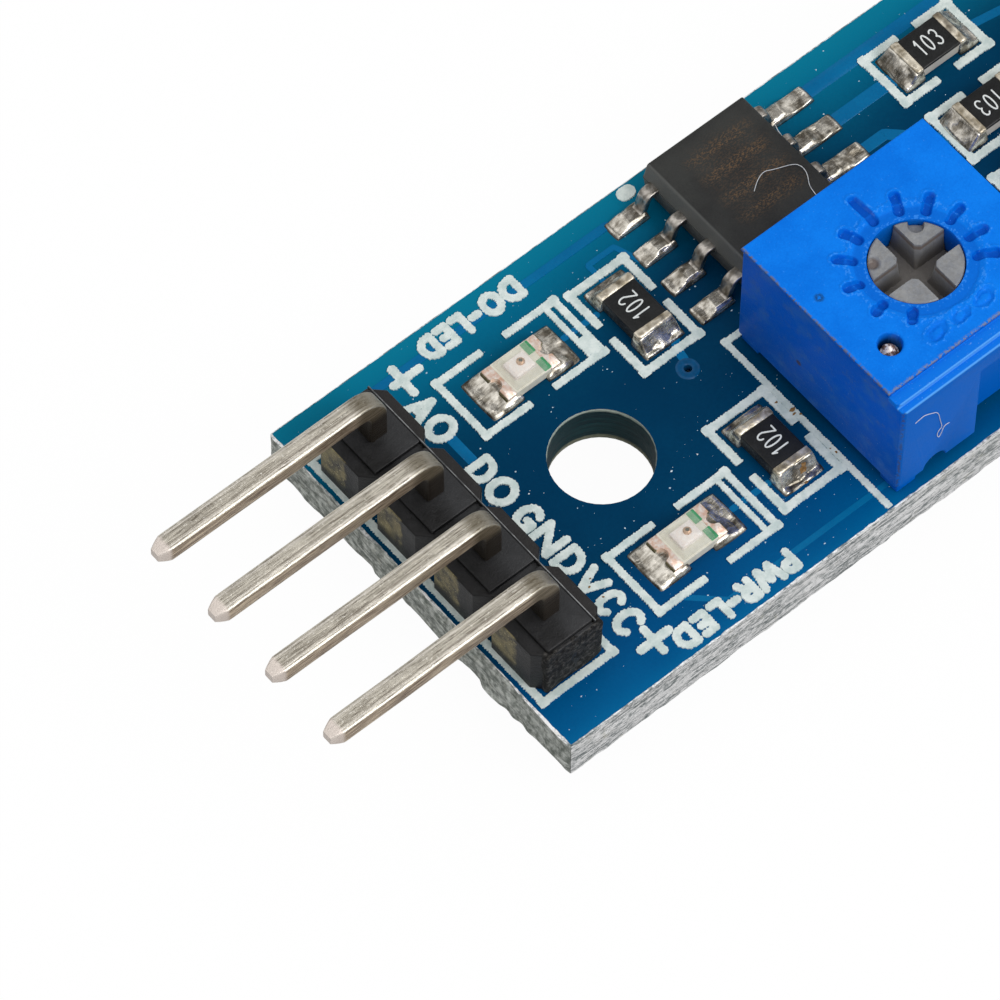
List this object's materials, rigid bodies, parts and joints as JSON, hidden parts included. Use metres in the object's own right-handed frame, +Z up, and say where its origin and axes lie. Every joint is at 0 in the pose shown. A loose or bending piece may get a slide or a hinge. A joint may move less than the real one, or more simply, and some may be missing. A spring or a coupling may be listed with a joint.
{
  "type": "light sensor module",
  "caption": "Small blue sensor board with a bent pin header, mounting hole, comparator, indicator LEDs, trimming potentiometer and light-dependent resistor.",
  "frame": {"origin": "centre of the mounting hole at the board's underside", "axes": "+X along the board towards the sensor, away from the header; +Y across the board; +Z up out of the component side"},
  "size_m": [0.0379, 0.0134, 0.0079],
  "materials": {
    "solder_mask": "glossy blue solder mask over glass-fibre laminate",
    "header_plastic": "satin black moulding",
    "pin_metal": "drawn square wire, plated, slightly tarnished",
    "solder": "shiny tin solder",
    "package_plastic": "matt dark moulding compound",
    "lead_metal": "satin tin plating",
    "trimmer_blue": "smooth blue moulding",
    "rotor_grey": "matt grey moulding",
    "contact_metal": "spring contact",
    "element_track": "printed resistive track",
    "resistor_glaze": "black glaze on pale ceramic",
    "tin_caps": "tinned end caps",
    "capacitor_ceramic": "tan ceramic",
    "led_base": "pale laminate",
    "led_gilt": "gilded terminal",
    "led_lens": "clear cast resin",
    "sensor_ceramic": "coated ceramic disc",
    "sensor_film": "light-sensitive film"
  },
  "bodies": {
    "board": {"circuit_board": "solder_mask", "header_body": "header_plastic", "header_pin_1": "pin_metal", "header_pin_2": "pin_metal", "header_pin_3": "pin_metal", "header_pin_4": "pin_metal", "header_solder": "solder", "comparator_body": "package_plastic", "comparator_lead_1": "lead_metal", "comparator_lead_2": "lead_metal", "comparator_lead_3": "lead_metal", "comparator_lead_4": "lead_metal", "comparator_lead_5": "lead_metal", "comparator_lead_6": "lead_metal", "comparator_lead_7": "lead_metal", "comparator_lead_8": "lead_metal", "comparator_solder": "solder", "trimmer_housing": "trimmer_blue", "trimmer_element": "element_track", "trimmer_base": "trimmer_blue", "trimmer_pin_1": "lead_metal", "trimmer_pin_2": "lead_metal", "trimmer_pin_3": "lead_metal", "trimmer_solder": "solder", "resistor_1_body": "resistor_glaze", "resistor_1_caps": "tin_caps", "resistor_2_body": "resistor_glaze", "resistor_2_caps": "tin_caps", "resistor_3_body": "resistor_glaze", "resistor_3_caps": "tin_caps", "resistor_4_body": "resistor_glaze", "resistor_4_caps": "tin_caps", "resistor_solder": "solder", "capacitor_body": "capacitor_ceramic", "capacitor_caps": "tin_caps", "capacitor_solder": "solder", "led_1_base": "led_base", "led_1_terminals": "led_gilt", "led_1_lens": "led_lens", "led_2_base": "led_base", "led_2_terminals": "led_gilt", "led_2_lens": "led_lens", "led_solder": "solder", "sensor_disc": "sensor_ceramic", "sensor_track": "sensor_film", "sensor_lead_1": "lead_metal", "sensor_lead_2": "lead_metal", "sensor_solder": "solder"},
    "rotor": {"trimmer_rotor": "rotor_grey", "trimmer_wiper": "contact_metal"}
  },
  "joints": [
    {"name": "rotor_turn", "type": "hinge", "parent": "board", "child": "rotor", "pos_m": [0.00919, -0.00296, 0.0045], "axis": [0, 0, 1], "range_deg": [-135, 135]}
  ]
}
